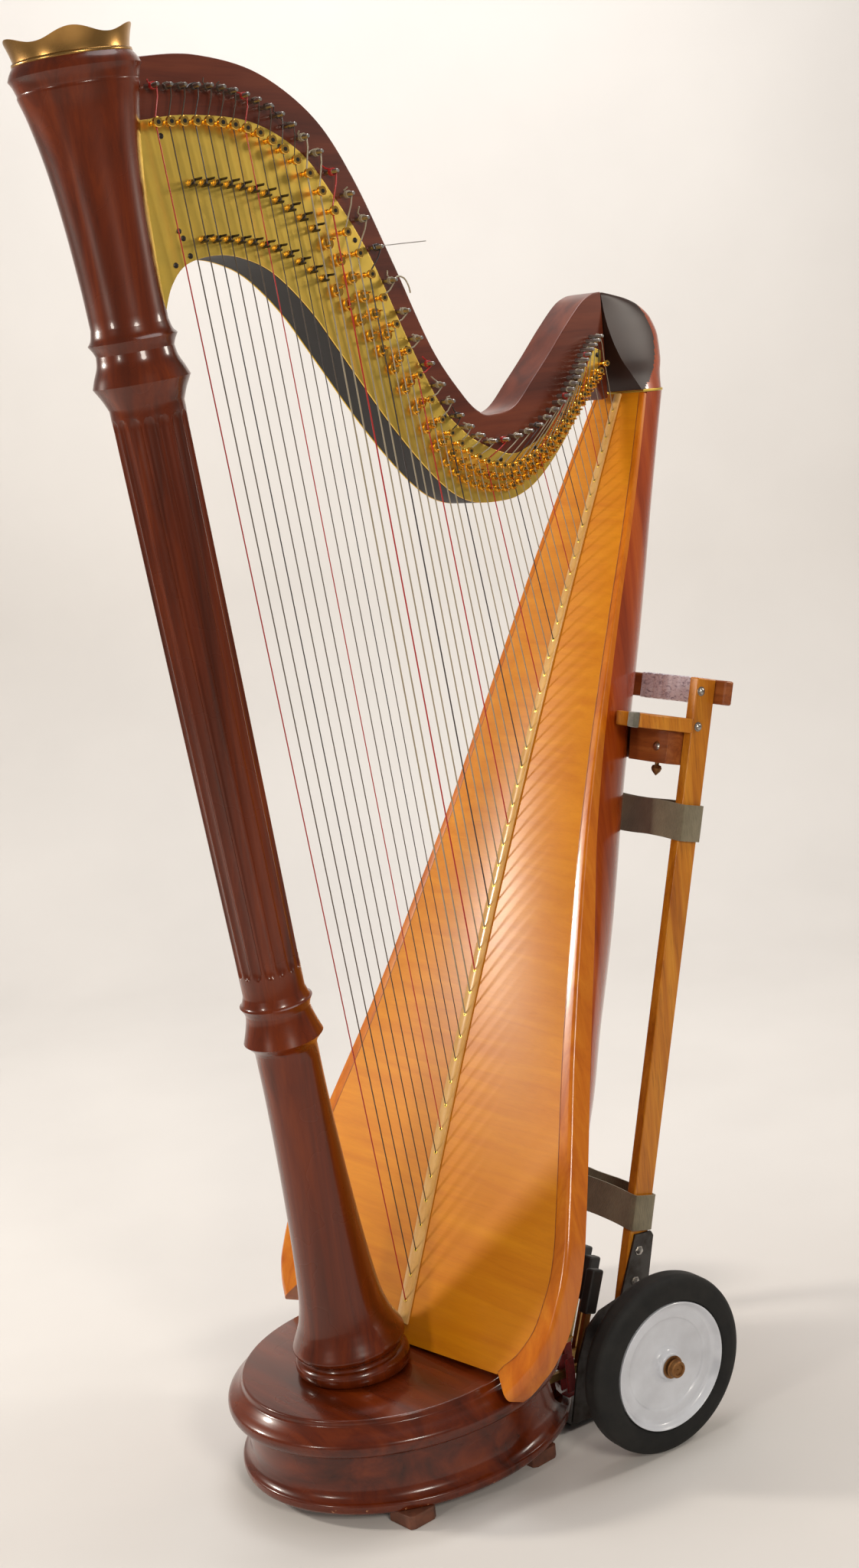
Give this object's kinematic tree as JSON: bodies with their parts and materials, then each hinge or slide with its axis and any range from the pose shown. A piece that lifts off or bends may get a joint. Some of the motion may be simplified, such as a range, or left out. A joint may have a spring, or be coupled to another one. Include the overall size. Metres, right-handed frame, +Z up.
{
  "type": "concert pedal harp on wheeled cart",
  "caption": "Double-action concert pedal harp with fluted column, curved neck, strung sound board, rounded sound box and folding pedals, strapped to a wooden two-wheel moving cart.",
  "frame": {"origin": "middle of the whole object's bounding box in x and y, on the floor", "axes": "+Z up; column toward -X, sound box and cart toward +X; +Y toward the side that carries the tuning pin tips, away from the bridge pins"},
  "size_m": [0.9932, 0.6841, 1.864],
  "materials": {
    "mahogany": "gloss lacquer",
    "crown_brass": "satin",
    "foot_wood": "worn",
    "board_spruce": "satin lacquer",
    "strip_wood": "satin lacquer",
    "edge_maple": "gloss lacquer",
    "shell_wood": "gloss lacquer",
    "shoulder_black": "gloss",
    "neck_wood": "satin lacquer",
    "plate_brass": "satin",
    "steel": "satin",
    "pedal_brass": "worn satin",
    "pedal_rubber": "satin",
    "felt": "matte",
    "red_felt": "matte",
    "webbing": "matte",
    "cart_steel": "dull",
    "tyre": "matte",
    "hub_white": "semi-gloss",
    "nut_brass": "rusted",
    "cart_wood": "satin varnish",
    "string_gut": "satin",
    "string_red": "satin",
    "string_black": "satin",
    "string_wire": "wound wire",
    "disc_gold": "polished",
    "pin_steel": "polished",
    "tape_silver": "satin"
  },
  "bodies": {
    "root": {"base": "mahogany", "brass_band": "plate_brass", "cart_axle_far": "cart_steel", "cart_axle_near": "cart_steel", "cart_cradle": "cart_wood", "cart_crosspiece": "cart_wood", "cart_felt_far": "felt", "cart_felt_near": "felt", "cart_handle": "cart_wood", "cart_nut_far": "nut_brass", "cart_nut_near": "nut_brass", "cart_plate_far": "cart_steel", "cart_plate_near": "cart_steel", "cart_post_far": "cart_wood", "cart_post_near": "cart_wood", "cart_strap_lower": "webbing", "cart_strap_upper": "webbing", "cart_toe": "cart_steel", "column": "mahogany", "crown": "crown_brass", "edge_far": "edge_maple", "edge_near": "edge_maple", "foot_front_far": "foot_wood", "foot_front_near": "foot_wood", "foot_rear_far": "foot_wood", "foot_rear_near": "foot_wood", "neck": "neck_wood", "pedal_rod": "steel", "plate_left": "plate_brass", "plate_right": "plate_brass", "shell": "shell_wood", "shoulder": "shoulder_black", "soundboard": "board_spruce", "string_band": "strip_wood"},
    "pedal_D": {"lever_D": "pedal_brass"},
    "pedal_arm_D": {"arm_D": "pedal_brass", "cap_D": "pedal_rubber"},
    "pedal_C": {"lever_C": "pedal_brass"},
    "pedal_arm_C": {"arm_C": "pedal_brass", "cap_C": "pedal_rubber"},
    "pedal_B": {"lever_B": "pedal_brass"},
    "pedal_arm_B": {"arm_B": "pedal_brass", "cap_B": "pedal_rubber"},
    "pedal_E": {"lever_E": "pedal_brass"},
    "pedal_arm_E": {"arm_E": "pedal_brass", "cap_E": "pedal_rubber"},
    "pedal_F": {"lever_F": "pedal_brass"},
    "pedal_arm_F": {"arm_F": "pedal_brass", "cap_F": "pedal_rubber"},
    "pedal_G": {"lever_G": "pedal_brass"},
    "pedal_arm_G": {"arm_G": "pedal_brass", "cap_G": "pedal_rubber"},
    "pedal_A": {"lever_A": "pedal_brass"},
    "pedal_arm_A": {"arm_A": "pedal_brass", "cap_A": "pedal_rubber"},
    "wheel_near": {"cart_hub_near": "hub_white", "cart_tyre_near": "tyre"},
    "wheel_far": {"cart_hub_far": "hub_white", "cart_tyre_far": "tyre"}
  },
  "joints": [
    {"name": "pedal_D_press", "type": "hinge", "parent": "root", "child": "pedal_D", "pos_m": [-0.18298, -0.14842, 0.09], "axis": [0, 1, 0], "range_deg": [0, 6], "stiffness_Nm_per_rad": 6, "springref_deg": -11.46},
    {"name": "pedal_D_fold", "type": "hinge", "parent": "pedal_D", "child": "pedal_arm_D", "pos_m": [0.04388, -0.14842, 0.072], "axis": [0, 1, 0], "range_deg": [0, 69]},
    {"name": "pedal_C_press", "type": "hinge", "parent": "root", "child": "pedal_C", "pos_m": [-0.18298, -0.11342, 0.09], "axis": [0, 1, 0], "range_deg": [0, 6], "stiffness_Nm_per_rad": 6, "springref_deg": -11.46},
    {"name": "pedal_C_fold", "type": "hinge", "parent": "pedal_C", "child": "pedal_arm_C", "pos_m": [0.07255, -0.11342, 0.072], "axis": [0, 1, 0], "range_deg": [0, 69]},
    {"name": "pedal_B_press", "type": "hinge", "parent": "root", "child": "pedal_B", "pos_m": [-0.18298, -0.07842, 0.09], "axis": [0, 1, 0], "range_deg": [0, 6], "stiffness_Nm_per_rad": 6, "springref_deg": -11.46},
    {"name": "pedal_B_fold", "type": "hinge", "parent": "pedal_B", "child": "pedal_arm_B", "pos_m": [0.09086, -0.07842, 0.072], "axis": [0, 1, 0], "range_deg": [0, 69]},
    {"name": "pedal_E_press", "type": "hinge", "parent": "root", "child": "pedal_E", "pos_m": [-0.18298, 0.03958, 0.09], "axis": [0, 1, 0], "range_deg": [0, 6], "stiffness_Nm_per_rad": 6, "springref_deg": -11.46},
    {"name": "pedal_E_fold", "type": "hinge", "parent": "pedal_E", "child": "pedal_arm_E", "pos_m": [0.0982, 0.03958, 0.072], "axis": [0, 1, 0], "range_deg": [0, 69]},
    {"name": "pedal_F_press", "type": "hinge", "parent": "root", "child": "pedal_F", "pos_m": [-0.18298, 0.07258, 0.09], "axis": [0, 1, 0], "range_deg": [0, 6], "stiffness_Nm_per_rad": 6, "springref_deg": -11.46},
    {"name": "pedal_F_fold", "type": "hinge", "parent": "pedal_F", "child": "pedal_arm_F", "pos_m": [0.08604, 0.07258, 0.072], "axis": [0, 1, 0], "range_deg": [0, 69]},
    {"name": "pedal_G_press", "type": "hinge", "parent": "root", "child": "pedal_G", "pos_m": [-0.18298, 0.10558, 0.09], "axis": [0, 1, 0], "range_deg": [0, 6], "stiffness_Nm_per_rad": 6, "springref_deg": -11.46},
    {"name": "pedal_G_fold", "type": "hinge", "parent": "pedal_G", "child": "pedal_arm_G", "pos_m": [0.06632, 0.10558, 0.072], "axis": [0, 1, 0], "range_deg": [0, 69]},
    {"name": "pedal_A_press", "type": "hinge", "parent": "root", "child": "pedal_A", "pos_m": [-0.18298, 0.13858, 0.09], "axis": [0, 1, 0], "range_deg": [0, 6], "stiffness_Nm_per_rad": 6, "springref_deg": -11.46},
    {"name": "pedal_A_fold", "type": "hinge", "parent": "pedal_A", "child": "pedal_arm_A", "pos_m": [0.03649, 0.13858, 0.072], "axis": [0, 1, 0], "range_deg": [0, 69]},
    {"name": "wheel_near_spin", "type": "hinge", "parent": "root", "child": "wheel_near", "pos_m": [0.05107, -0.30648, 0.126], "axis": [0.0993, 0.9951, 0], "continuous": true},
    {"name": "wheel_far_spin", "type": "hinge", "parent": "root", "child": "wheel_far", "pos_m": [0.11225, 0.30647, 0.126], "axis": [0.0993, 0.9951, 0], "continuous": true}
  ]
}
